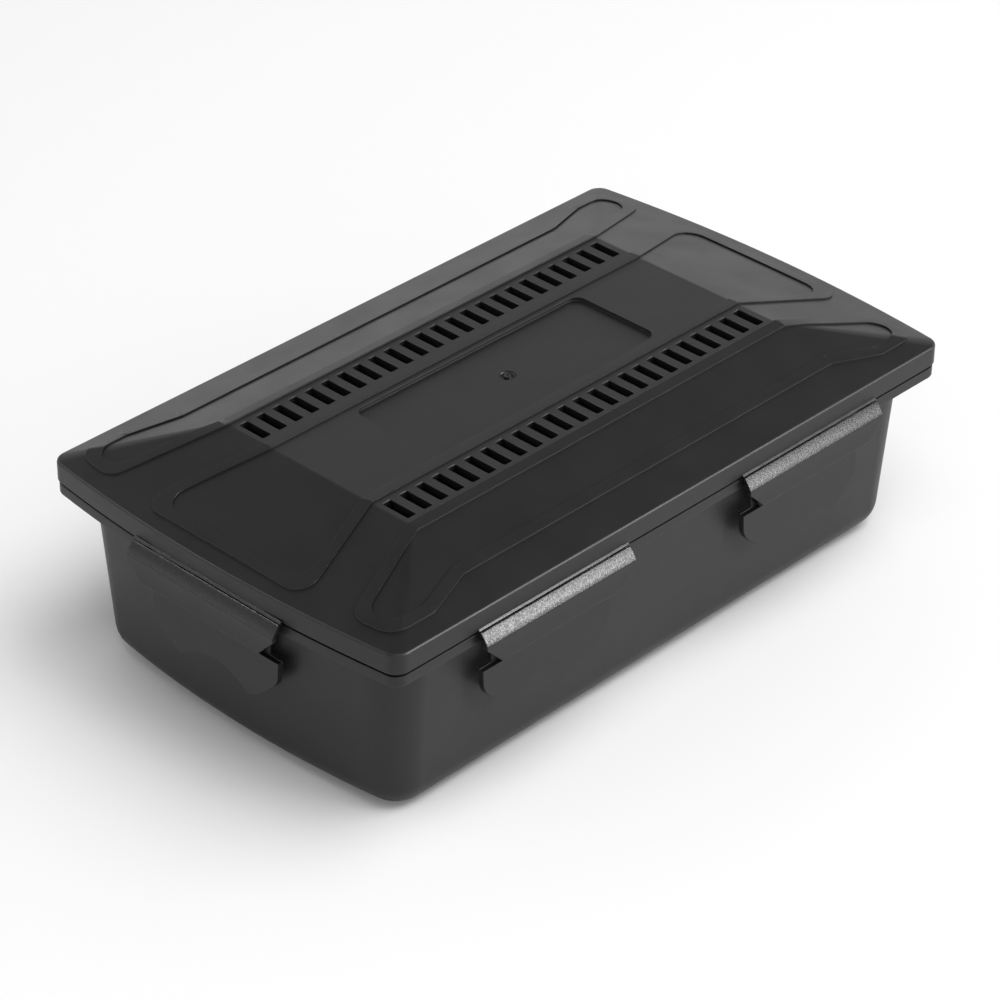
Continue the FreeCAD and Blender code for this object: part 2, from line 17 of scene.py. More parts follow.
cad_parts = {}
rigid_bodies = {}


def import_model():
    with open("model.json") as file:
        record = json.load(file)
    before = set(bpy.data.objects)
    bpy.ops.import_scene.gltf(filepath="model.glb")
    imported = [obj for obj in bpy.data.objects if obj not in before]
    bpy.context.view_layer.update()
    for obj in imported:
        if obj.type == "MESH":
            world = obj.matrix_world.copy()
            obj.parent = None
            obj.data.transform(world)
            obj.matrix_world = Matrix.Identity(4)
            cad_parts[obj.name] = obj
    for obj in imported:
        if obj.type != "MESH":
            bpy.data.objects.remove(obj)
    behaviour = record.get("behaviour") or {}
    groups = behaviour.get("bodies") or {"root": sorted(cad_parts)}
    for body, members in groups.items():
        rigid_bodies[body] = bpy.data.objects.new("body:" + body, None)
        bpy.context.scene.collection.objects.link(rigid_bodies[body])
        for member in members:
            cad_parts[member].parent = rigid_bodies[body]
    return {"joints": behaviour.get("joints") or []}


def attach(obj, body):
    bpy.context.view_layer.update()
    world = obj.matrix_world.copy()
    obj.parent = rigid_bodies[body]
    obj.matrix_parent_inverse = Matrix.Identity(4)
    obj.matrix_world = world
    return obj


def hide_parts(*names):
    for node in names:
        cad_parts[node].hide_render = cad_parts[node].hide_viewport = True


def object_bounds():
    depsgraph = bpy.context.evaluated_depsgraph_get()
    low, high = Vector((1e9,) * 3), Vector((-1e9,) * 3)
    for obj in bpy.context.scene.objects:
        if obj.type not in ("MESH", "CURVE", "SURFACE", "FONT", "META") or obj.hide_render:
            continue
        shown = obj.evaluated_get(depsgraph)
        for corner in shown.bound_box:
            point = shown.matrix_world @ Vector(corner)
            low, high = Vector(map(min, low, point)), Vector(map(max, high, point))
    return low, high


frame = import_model()
CAD_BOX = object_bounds()

MM = 0.001
FLOOR = "floor"
MID_ROUND = 0.3         # share of its radius at which a two-step rounding has its middle ring
OVERSHOOT = 1.0         # how far a cutter stands past what it cuts
LEAST_CORNER = 0.05     # smallest corner of a plan that is set in
LEAST_BEND = 0.2        # smallest rounding of a loop that is set in
NEAR = 0.01 * MM        # places this close are the same place
MERGE = 0.002 * MM      # points this close become one in a finished piece
SLIVER = 0.001 * MM     # faces thinner than this are dissolved
FLAT_WEIGHT = 80        # how strongly broad faces keep their own shading
Outline = list[tuple[float, float]]
Ring = list[Vector]

log = logging.getLogger("bait_box")


# ---------------------------------------------------------------- places and outlines


def place(x: float, y: float, z: float) -> Vector:
    """A point given in millimetres, in metres."""
    return Vector((x, y, z)) * MM


def bowed_run(start: tuple[float, float], finish: tuple[float, float], bow: float, steps: int) -> Outline:
    """Points from one place towards another along a shallow bow.

    Args:
        start: First place, which is in the result.
        finish: Last place, which is left to the next run.
        bow: How far the middle stands out on the left of the way, or on the right if negative.
        steps: Number of points.

    Returns:
        The points of the run.
    """
    (x0, y0), (x1, y1) = start, finish
    length = math.hypot(x1 - x0, y1 - y0)
    left = (-(y1 - y0) / length, (x1 - x0) / length)
    points = []
    for step in range(steps):
        share = step / steps
        out = 4.0 * bow * share * (1.0 - share)  # a parabola as high as the bow at its middle
        points.append((x0 + (x1 - x0) * share + left[0] * out, y0 + (y1 - y0) * share + left[1] * out))
    return points


@dataclass(frozen=True)
class Plan:
    """A level outline of the box: straight long sides, bowed ends and rounded corners."""

    half_length: float
    half_width: float
    corner: float
    bow: float
    side_steps: int = 10
    corner_steps: int = 8
    end_steps: int = 12

    def grown(self, amount: float) -> "Plan":
        """The same outline moved outwards all round."""
        corner = max(self.corner + amount, LEAST_CORNER)
        return Plan(self.half_length + amount, self.half_width + amount, corner, self.bow)

    def quarter(self) -> Outline:
        """Points from the middle of the right end round to the middle of the back side.

        Returns:
            The points, with more of them on the roundings than on the straight runs.
        """
        reach = self.half_width - self.corner
        if self.bow > 0.0:
            radius = (self.half_width**2 + self.bow**2) / (2.0 * self.bow)
            hub = self.half_length - radius
            centre = hub + math.sqrt((radius - self.corner) ** 2 - reach**2)
            start = math.atan2(reach, centre - hub)
            angles = [start * step / self.end_steps for step in range(self.end_steps)]
            points = [(hub + radius * math.cos(turn), radius * math.sin(turn)) for turn in angles]
        else:
            centre, start = self.half_length - self.corner, 0.0
            points = [(self.half_length, reach * step / self.end_steps) for step in range(self.end_steps)]
        for step in range(self.corner_steps):
            turn = start + (math.pi / 2 - start) * step / self.corner_steps
            points.append((centre + self.corner * math.cos(turn), reach + self.corner * math.sin(turn)))
        for step in range(self.side_steps):
            points.append((centre * (1.0 - step / self.side_steps), self.half_width))
        points.append((0.0, self.half_width))
        return points

    def ring(self, height: float) -> Ring:
        """The whole outline at a height, anticlockwise from the middle of the right end.

        Args:
            height: Height of the outline.

        Returns:
            The outline's places, as many for any plan.
        """
        first = self.quarter()
        back_left = [(-x, y) for x, y in reversed(first[1:-1])]
        half = first + back_left + [(-first[0][0], 0.0)]
        front = [(x, -y) for x, y in reversed(half[1:-1])]
        return [place(x, y, height) for x, y in half + front]


def rounded_loop(corners: Sequence[tuple[float, float, float]], grow: float, steps: int) -> Outline:
    """A closed loop of straight runs and rounded corners, grown outwards by an amount.

    Args:
        corners: Anticlockwise corners, each with x, y and the radius of its rounding.
        grow: How far the loop moves outwards.
        steps: Points on each rounding.

    Returns:
        The points of the loop, as many at any growth.
    """
    total = len(corners)
    points: Outline = []
    for index, (x, y, radius) in enumerate(corners):
        before = Vector((x - corners[index - 1][0], y - corners[index - 1][1])).normalized()
        after_corner = corners[(index + 1) % total]
        after = Vector((after_corner[0] - x, after_corner[1] - y)).normalized()
        turn = -before.angle_signed(after)  # a left turn is positive
        outward = (Vector((before.y, -before.x)) + Vector((after.y, -after.x))).normalized()
        tip = Vector((x, y)) + outward * (grow / math.cos(turn / 2))
        real = max(radius + math.copysign(grow, turn), LEAST_BEND)
        inward = -outward * math.copysign(1.0, turn)
        hub = tip + inward * (real / math.cos(turn / 2))
        for step in range(steps + 1):
            swing = (step / steps - 0.5) * turn
            arm = -inward * real
            arm.rotate(Matrix.Rotation(swing, 2))
            points.append((hub.x + arm.x, hub.y + arm.y))
    return points


# ---------------------------------------------------------------- modelling with operators


def put_down() -> None:
    """Leave edit mode and deselect everything."""
    if bpy.context.mode != "OBJECT":
        bpy.ops.object.mode_set(mode="OBJECT")
    bpy.ops.object.select_all(action="DESELECT")


def take_up(piece: bpy.types.Object) -> None:
    """Make one piece the only one selected, and the active one.

    Args:
        piece: The piece to work on.
    """
    put_down()
    piece.select_set(True)
    bpy.context.view_layer.objects.active = piece


def open_mesh(piece: bpy.types.Object, kind: str) -> None:
    """Enter edit mode on a piece with nothing selected.

    Args:
        piece: The piece to open.
        kind: What is selected next: VERT, EDGE or FACE.
    """
    take_up(piece)
    bpy.ops.object.mode_set(mode="EDIT")
    bpy.ops.mesh.select_mode(type=kind)
    bpy.ops.mesh.select_all(action="DESELECT")


def choose_edges(piece: bpy.types.Object, wanted: Callable[[Vector, Vector], bool]) -> None:
    """Select, in edit mode, the edges whose two ends pass a test.

    Args:
        piece: The open piece.
        wanted: Takes the places of an edge's two ends.
    """
    mesh = bmesh.from_edit_mesh(piece.data)
    for edge in mesh.edges:
        edge.select_set(wanted(edge.verts[0].co, edge.verts[1].co))
    bmesh.update_edit_mesh(piece.data)


def choose_faces(piece: bpy.types.Object, wanted: Callable[[Vector, Vector], bool]) -> None:
    """Select, in edit mode, the faces whose middle and normal pass a test.

    Args:
        piece: The open piece.
        wanted: Takes a face's middle and its normal.
    """
    mesh = bmesh.from_edit_mesh(piece.data)
    mesh.normal_update()
    for face in mesh.faces:
        face.select_set(wanted(face.calc_center_median(), face.normal))
    bmesh.update_edit_mesh(piece.data)


def choose_rings(piece: bpy.types.Object, levels: Sequence[int]) -> None:
    """Select, in edit mode, the rings that were drawn at some levels.

    Args:
        piece: The open piece, while it is being drawn.
        levels: Numbers of the rings, from 0.
    """
    mesh = bmesh.from_edit_mesh(piece.data)
    level = mesh.verts.layers.int["level"]
    for vert in mesh.verts:
        vert.select_set(vert[level] in levels)
    mesh.select_flush_mode()
    bmesh.update_edit_mesh(piece.data)


def draw_shell(name: str, rings: Sequence[Ring], endless: bool = False) -> bpy.types.Object:
    """Draw a closed shell up from a circle, ring after ring.

    Args:
        name: Name of the new piece.
        rings: Places of each ring's points, as many in every ring.
        endless: Join the last ring to the first, instead of closing each with a face.

    Returns:
        The piece, with its faces pointing outwards.
    """
    put_down()
    radius = max(point.length for point in rings[0])
    bpy.ops.mesh.primitive_circle_add(vertices=len(rings[0]), radius=radius, fill_type="NOTHING")
    piece = bpy.context.object
    piece.name = piece.data.name = name
    bpy.ops.object.mode_set(mode="EDIT")
    bpy.ops.mesh.select_mode(type="VERT")
    bpy.ops.mesh.select_all(action="SELECT")
    mesh = bmesh.from_edit_mesh(piece.data)
    order = mesh.verts.layers.int.new("order")
    level = mesh.verts.layers.int.new("level")
    for index, vert in enumerate(mesh.verts):
        vert[order] = index
        vert.co = rings[0][index]
    for number, ring in enumerate(rings[1:], start=1):
        bpy.ops.mesh.extrude_region()
        mesh = bmesh.from_edit_mesh(piece.data)
        order, level = mesh.verts.layers.int["order"], mesh.verts.layers.int["level"]
        for vert in mesh.verts:
            if vert.select:
                vert[level] = number
                vert.co = ring[vert[order]]
        bmesh.update_edit_mesh(piece.data)
    if endless:
        choose_rings(piece, (0, len(rings) - 1))
        bpy.ops.mesh.bridge_edge_loops()
    else:
        for number in (0, len(rings) - 1):
            choose_rings(piece, (number,))
            bpy.ops.mesh.edge_face_add()
    bpy.ops.mesh.select_all(action="SELECT")
    bpy.ops.mesh.normals_make_consistent(inside=False)
    bpy.ops.object.mode_set(mode="OBJECT")
    for layer in ("order", "level"):
        piece.data.attributes.remove(piece.data.attributes[layer])
    return piece


def draw_prism(
        name: str, outline: Outline, lay: Callable[[float, float], Vector],
        sweep: Vector) -> bpy.types.Object:
    """Draw a flat outline and extrude it along a line.

    Args:
        name: Name of the new piece.
        outline: Points of the closed outline.
        lay: Gives an outline point's place in space.
        sweep: How far the outline is swept, in metres.

    Returns:
        The closed prism.
    """
    first = [lay(*point) for point in outline]
    return draw_shell(name, [first, [point + sweep for point in first]])


def draw_block(name: str, low: Vector, high: Vector) -> bpy.types.Object:
    """Add a cube between two corners.

    Args:
        name: Name of the new piece.
        low: Its lowest corner, in metres.
        high: Its highest corner, in metres.

    Returns:
        The block, with its place in its mesh.
    """
    put_down()
    bpy.ops.mesh.primitive_cube_add(size=1.0, location=(low + high) / 2, scale=high - low)
    block = bpy.context.object
    block.name = block.data.name = name
    bpy.ops.object.transform_apply(location=True, rotation=True, scale=True)
    return block


def apply_modifier(piece: bpy.types.Object, kind: str, **settings: object) -> None:
    """Add a modifier to a piece and apply it.

    Args:
        piece: The piece to change.
        kind: The modifier's type.
        settings: The modifier's own properties.
    """
    take_up(piece)
    modifier = piece.modifiers.new(kind.lower(), kind)
    for setting, choice in settings.items():
        setattr(modifier, setting, choice)
    bpy.ops.object.modifier_apply(modifier=modifier.name)


class Fit(Enum):
    """How a tool shape works on a piece."""

    CUT = "DIFFERENCE"
    JOIN = "UNION"


def work(piece: bpy.types.Object, tool: bpy.types.Object, fit: Fit) -> None:
    """Cut a tool's shape from a piece or join it on, and throw the tool away."""
    apply_modifier(piece, "BOOLEAN", operation=fit.value, solver="MANIFOLD", object=tool)
    bpy.data.objects.remove(tool)


def copied(piece: bpy.types.Object, name: str, move: Matrix) -> bpy.types.Object:
    """Copy a piece and move the copy's mesh.

    Args:
        piece: The pattern.
        name: Name of the copy.
        move: What its mesh is moved by.

    Returns:
        The copy, whose object stays at the origin.
    """
    copy = piece.copy()
    copy.data = piece.data.copy()
    copy.name = copy.data.name = name
    bpy.context.scene.collection.objects.link(copy)
    copy.data.transform(move)
    return copy


def joined(pieces: Sequence[bpy.types.Object]) -> bpy.types.Object:
    """Join several pieces into the first.

    Args:
        pieces: The pieces, which don't overlap.

    Returns:
        The first piece, with all of them in it.
    """
    take_up(pieces[0])
    for piece in pieces[1:]:
        piece.select_set(True)
    bpy.ops.object.join()
    return pieces[0]


def smooth(piece: bpy.types.Object, crease: float = 30.0) -> None:
    """Clean a piece up and shade it smooth, with creases kept and broad faces kept flat.

    Args:
        piece: The piece to finish.
        crease: Degrees from which an edge stays sharp.
    """
    open_mesh(piece, "VERT")
    bpy.ops.mesh.select_all(action="SELECT")
    bpy.ops.mesh.remove_doubles(threshold=MERGE)
    bpy.ops.mesh.dissolve_degenerate(threshold=SLIVER)
    bpy.ops.mesh.select_all(action="SELECT")
    bpy.ops.mesh.normals_make_consistent(inside=False)
    take_up(piece)
    bpy.ops.object.shade_smooth_by_angle(angle=math.radians(crease))
    apply_modifier(piece, "WEIGHTED_NORMAL", keep_sharp=True, weight=FLAT_WEIGHT)


# ---------------------------------------------------------------- finishes


def linear(colour: str) -> tuple[float, float, float, float]:
    """An sRGB hex colour as linear red, green, blue and alpha.

    Args:
        colour: Six hex digits after a hash.

    Returns:
        The four linear values.
    """
    shares = [int(colour[start:start + 2], 16) / 255.0 for start in (1, 3, 5)]
    red, green, blue = [s / 12.92 if s <= 0.04045 else ((s + 0.055) / 1.055) ** 2.4 for s in shares]
    return red, green, blue, 1.0


def add_node(tree: bpy.types.NodeTree, kind: str, links: dict, **settings: object) -> bpy.types.Node:
    """Add a node to a tree.

    Args:
        tree: The material's or world's node tree.
        kind: The node's type, without its ShaderNode prefix.
        links: Value or output socket for each input, by the input's name or number.
        settings: The node's own properties.

    Returns:
        The new node.
    """
    node = tree.nodes.new("ShaderNode" + kind)
    for setting, choice in settings.items():
        setattr(node, setting, choice)
    for socket, source in links.items():
        if isinstance(source, bpy.types.NodeSocket):
            tree.links.new(source, node.inputs[socket])
        else:
            node.inputs[socket].default_value = source
    return node


def per_metre(grain: float) -> float:
    """Noise scale that gives a pattern of a size in millimetres on Object coordinates."""
    return 1.0 / (grain * MM)


@dataclass(frozen=True)
class MouldedPolypropylene:
    """Black polypropylene from a spark-eroded mould, left as it came from the tool.

    The eye gets a deep, slightly cloudy black with wide, soft reflections and no clear image in
    them. The pits of such a mould are usually 0.1 to 0.2 mm wide, too fine to show here, so the
    grain is drawn at about 0.5 mm.
    """

    name: str
    colour: str
    worn_colour: str              # where handling has made the surface a little paler
    roughness: float
    roughness_spread: float       # how much the gloss drifts either way
    grain: float                  # width of the pits
    grain_depth: float
    mottle: float                 # width of the clouds in gloss and tone, from the melt's flow
    mottle_detail: float = 3.0
    grain_detail: float = 2.0
    noise_span: tuple[float, float] = (0.3, 0.7)
    ior: float = 1.43             # polypropylene's 1.49, lowered to the dull look of a pitted face

    def build(self) -> bpy.types.Material:
        """Make the material.

        Returns:
            A material whose grain, gloss and tone vary a little over the surface.
        """
        material = bpy.data.materials.new(self.name)
        material.use_nodes = True
        tree = material.node_tree
        shader = tree.nodes["Principled BSDF"]
        shader.inputs["IOR"].default_value = self.ior
        where = add_node(tree, "TexCoord", {}).outputs["Object"]
        self.dress(tree, shader, where)
        return material

    def dress(self, tree: bpy.types.NodeTree, shader: bpy.types.Node, where: bpy.types.NodeSocket) -> None:
        """Link the grain, the gloss and the tone to the shader.

        Args:
            tree: The material's node tree.
            shader: Its principled shader.
            where: Object coordinates.
        """
        flow = add_node(tree, "TexNoise", {
            "Vector": where, "Scale": per_metre(self.mottle), "Detail": self.mottle_detail,
        })
        tone = add_node(tree, "Mix", {
            0: flow.outputs["Fac"], 6: linear(self.colour), 7: linear(self.worn_colour),
        }, data_type="RGBA")
        tree.links.new(tone.outputs[2], shader.inputs["Base Color"])
        gloss = add_node(tree, "MapRange", {
            "Value": flow.outputs["Fac"],
            "From Min": self.noise_span[0], "From Max": self.noise_span[1],
            "To Min": self.roughness - self.roughness_spread,
            "To Max": self.roughness + self.roughness_spread,
        })
        tree.links.new(gloss.outputs["Result"], shader.inputs["Roughness"])
        grain = add_node(tree, "TexNoise", {
            "Vector": where, "Scale": per_metre(self.grain), "Detail": self.grain_detail,
        })
        bump = add_node(tree, "Bump", {
            "Height": grain.outputs["Fac"], "Strength": 1.0, "Distance": self.grain_depth * MM,
        })
        tree.links.new(bump.outputs["Normal"], shader.inputs["Normal"])


@dataclass(frozen=True)
class RolledGripPolypropylene(MouldedPolypropylene):
    """The same plastic, rubbed glossy over the rough roll at the top of each latch.

    The eye gets the flap's satin black, and above it a bright band of small broken sparkles. The
    roll's lumps are drawn at 0.6 mm, coarse enough to show.
    """

    roll_foot: float = 44.4       # heights, with the latch shut, over which the gloss sets in
    roll_crown: float = 45.6
    roll_roughness: float = 0.27
    polish: float = 0.1           # how much glossier than that the hollows between lumps are
    wear: float = 0.14            # how much duller the tops of the lumps are
    lump: float = 0.6             # width of the lumps
    lump_depth: float = 0.045
    lump_detail: float = 4.0
    lump_coarseness: float = 0.7
    lump_span: tuple[float, float] = (0.35, 0.65)

    def dress(self, tree: bpy.types.NodeTree, shader: bpy.types.Node, where: bpy.types.NodeSocket) -> None:
        """Link the flap's finish, and over it the roll's gloss and its lumps.

        Args:
            tree: The material's node tree.
            shader: Its principled shader.
            where: Object coordinates.
        """
        super().dress(tree, shader, where)
        height = add_node(tree, "SeparateXYZ", {"Vector": where}).outputs["Z"]
        roll = add_node(tree, "MapRange", {
            "Value": height, "From Min": self.roll_foot * MM, "From Max": self.roll_crown * MM,
        }, interpolation_type="SMOOTHSTEP").outputs["Result"]
        lumps = add_node(tree, "TexNoise", {
            "Vector": where, "Scale": per_metre(self.lump), "Detail": self.lump_detail,
            "Roughness": self.lump_coarseness,
        }).outputs["Fac"]
        gloss = add_node(tree, "MapRange", {
            "Value": lumps, "From Min": self.lump_span[0], "From Max": self.lump_span[1],
            "To Min": self.roll_roughness - self.polish, "To Max": self.roll_roughness + self.wear,
        }).outputs["Result"]
        plain = shader.inputs["Roughness"].links[0].from_socket
        mixed = add_node(tree, "Mix", {0: roll, 2: plain, 3: gloss}, data_type="FLOAT")
        tree.links.new(mixed.outputs[0], shader.inputs["Roughness"])
        raised = add_node(tree, "Math", {0: roll, 1: lumps}, operation="MULTIPLY").outputs[0]
        base = shader.inputs["Normal"].links[0].from_socket
        bump = add_node(tree, "Bump", {
            "Height": raised, "Strength": 1.0, "Distance": self.lump_depth * MM, "Normal": base,
        })
        tree.links.new(bump.outputs["Normal"], shader.inputs["Normal"])


# The tub is moulded black polypropylene: a plain, even satin that takes a soft sheen on its corners.
TUB_FINISH = MouldedPolypropylene(
    name="tub_black_polypropylene", colour="#101011", worn_colour="#151516",
    roughness=0.46, roughness_spread=0.03, grain=0.5, grain_depth=0.010, mottle=9.0)
# The lid is the same plastic from a finer tool: slightly darker and glossier, so its beads and creases
# catch thin lines of light.
LID_FINISH = MouldedPolypropylene(
    name="lid_black_polypropylene", colour="#0e0e0f", worn_colour="#131314",
    roughness=0.43, roughness_spread=0.03, grain=0.45, grain_depth=0.010, mottle=12.0)
# The latches are the same plastic: satin flaps under a glossy, rough rolled grip that sparkles.
LATCH_FINISH = RolledGripPolypropylene(
    name="latch_black_polypropylene", colour="#101011", worn_colour="#161617",
    roughness=0.47, roughness_spread=0.03, grain=0.5, grain_depth=0.010, mottle=7.0)
# The webs are that plastic drawn thin and flexed, which pales and polishes it: a fine light line.
WEB_FINISH = MouldedPolypropylene(
    name="hinge_flexed_polypropylene", colour="#262627", worn_colour="#303031",
    roughness=0.26, roughness_spread=0.06, grain=0.7, grain_depth=0.012, mottle=2.0)


def hand_over(piece: bpy.types.Object, finish: bpy.types.Material, body: str, node: str) -> None:
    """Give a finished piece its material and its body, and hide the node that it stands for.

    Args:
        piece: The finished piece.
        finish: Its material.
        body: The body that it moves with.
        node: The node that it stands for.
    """
    piece.data.materials.clear()
    piece.data.materials.append(finish)
    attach(piece, body)
    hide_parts(node)
    log.info("%s: %d faces, rides on %s", piece.name, len(piece.data.polygons), body)


# ---------------------------------------------------------------- tub


@dataclass(frozen=True)
class Tub:
    """The open box: drafted walls, a rounded foot and a flange cut back behind the latches."""

    half_length: float = 92.3     # outside, at the floor plane, before the foot is rounded
    half_width: float = 50.8
    corner: float = 8.4
    bow: float = 3.9
    lean: float = 3.2 / 45.0      # outward travel of a wall for each unit of its height
    wall: float = 2.0
    foot_radius: float = 7.6
    inner_foot_radius: float = 6.0
    flange_half_length: float = 99.7
    flange_half_width: float = 58.5
    flange_corner: float = 3.7
    flange_foot: float = 44.8
    flange_crown: float = 47.7
    edge: float = 0.35            # rounding of the flange's edges
    throat: float = 0.8           # fillet between the wall and the flange
    relief_half_width: float = 22.2
    relief_lip: float = 0.6       # flange left behind a side latch, and behind an end latch
    relief_end_lip: float = 0.1
    relief_drop: float = 0.6      # how far a relief reaches below the throat
    relief_reach: float = 8.0     # how far it reaches out, past the flange
    arc_steps: int = 8

    def wall_plan(self, height: float, inset: float) -> Plan:
        """Outline of the leaning wall at a height, set in by an amount."""
        out = self.lean * height - inset
        return Plan(self.half_length, self.half_width, self.corner, self.bow).grown(out)

    def foot_rings(self, inset: float, floor: float, radius: float) -> list[Ring]:
        """Rings of the rounding between the floor and the leaning wall.

        Args:
            inset: How far the wall is set in.
            floor: Height of the floor that it rises from.
            radius: Radius of the rounding.

        Returns:
            The rings, from the floor up.
        """
        lean = math.atan(self.lean)
        centre = self.wall_plan(floor + radius, inset).half_length - radius / math.cos(lean)
        rings = []
        for step in range(self.arc_steps + 1):
            angle = -math.pi / 2 + (math.pi / 2 - lean) * step / self.arc_steps
            reach = centre + radius * math.cos(angle)
            height = floor + radius + radius * math.sin(angle)
            plan = Plan(self.half_length, self.half_width, self.corner, self.bow)
            rings.append(plan.grown(reach - self.half_length).ring(height))
        return rings

    def flange_rings(self) -> list[Ring]:
        """Rings round the flange, from the wall's throat out, over the edge and in to the mouth.

        Returns:
            The rings, in that order.
        """
        plan = Plan(self.flange_half_length, self.flange_half_width, self.flange_corner, self.bow)
        low, high, edge = self.flange_foot, self.flange_crown, self.edge
        mouth = self.wall_plan(high, self.wall)
        return [
            self.wall_plan(low, 0.0).grown(-self.lean * self.throat).ring(low - self.throat),
            self.wall_plan(low, 0.0).grown(MID_ROUND * self.throat).ring(low - MID_ROUND * self.throat),
            self.wall_plan(low, 0.0).grown(self.throat).ring(low),
            plan.grown(-edge).ring(low),
            plan.grown(-MID_ROUND * edge).ring(low + MID_ROUND * edge),
            plan.ring(low + edge),
            plan.ring(high - edge),
            plan.grown(-MID_ROUND * edge).ring(high - MID_ROUND * edge),
            plan.grown(-edge).ring(high),
            mouth.grown(edge).ring(high),
            mouth.grown(MID_ROUND * edge).ring(high - MID_ROUND * edge),
            mouth.ring(high - edge),
        ]

    def relief_blocks(self) -> list[bpy.types.Object]:
        """Blocks that cut the flange back behind each latch.

        Returns:
            The blocks, one for each latch.
        """
        blocks = []
        foot = self.flange_foot - self.throat - self.relief_drop
        crown = self.flange_crown + OVERSHOOT
        top = self.wall_plan(self.flange_foot, 0.0)
        for number, (position, axis) in enumerate(latch_places()):
            along = Vector((abs(axis.x), abs(axis.y), 0.0))
            side = Vector((position.x * along.y, position.y * along.x, 0.0)).normalized()
            if along.x > along.y:
                start = top.half_width + self.relief_lip
            else:
                start = top.half_length + self.relief_end_lip
            middle = Vector((position.x * along.x, position.y * along.y, 0.0))
            reach = along * self.relief_half_width
            near = middle + (side * start - reach) * MM
            far = middle + (side * (start + self.relief_reach) + reach) * MM
            low = Vector((min(near.x, far.x), min(near.y, far.y), foot * MM))
            high = Vector((max(near.x, far.x), max(near.y, far.y), crown * MM))
            blocks.append(draw_block(f"relief_{number}", low, high))
        return blocks

    def build(self, finish: bpy.types.Material) -> None:
        """Model the tub and hand it over.

        Args:
            finish: The tub's material.
        """
        outside = self.foot_rings(0.0, 0.0, self.foot_radius)
        inside = self.foot_rings(self.wall, self.wall, self.inner_foot_radius)
        tub = draw_shell("tub_shell", outside + self.flange_rings() + list(reversed(inside)))
        work(tub, joined(self.relief_blocks()), Fit.CUT)
        smooth(tub)
        hand_over(tub, finish, "tub", "tub")


# ---------------------------------------------------------------- lid


